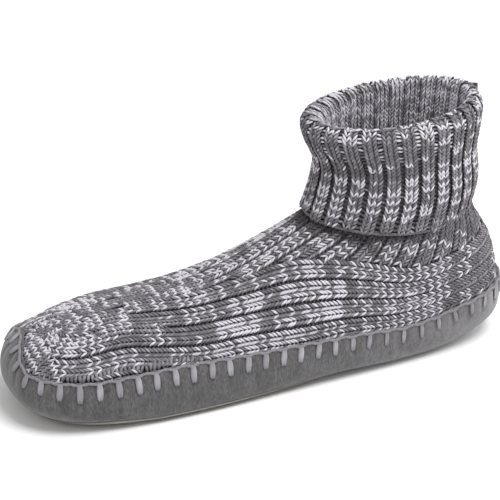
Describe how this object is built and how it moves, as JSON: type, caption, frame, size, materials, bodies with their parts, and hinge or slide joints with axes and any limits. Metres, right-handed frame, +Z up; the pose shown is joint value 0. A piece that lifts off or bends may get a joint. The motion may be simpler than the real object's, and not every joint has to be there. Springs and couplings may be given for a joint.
{
  "type": "slipper sock",
  "caption": "Hollow knitted slipper sock with a turned-down ribbed cuff, a suede cup sole that wraps up round the foot, an insole and a small plain tab at the back.",
  "frame": {"origin": "middle of the length and width, on the floor under the sole", "axes": "+X towards the heel, +Y across the foot, +Z up"},
  "size_m": [0.2538, 0.0864, 0.126],
  "materials": {
    "knit": "marled grey and white wool knit, matt",
    "suede": "grey suede with a short nap",
    "felt": "grey felt",
    "ribbon": "plain dark ribbon"
  },
  "bodies": {
    "root": {"knit_upper": "knit", "suede_sole": "suede", "insole": "felt", "back_tab": "ribbon"}
  },
  "joints": []
}
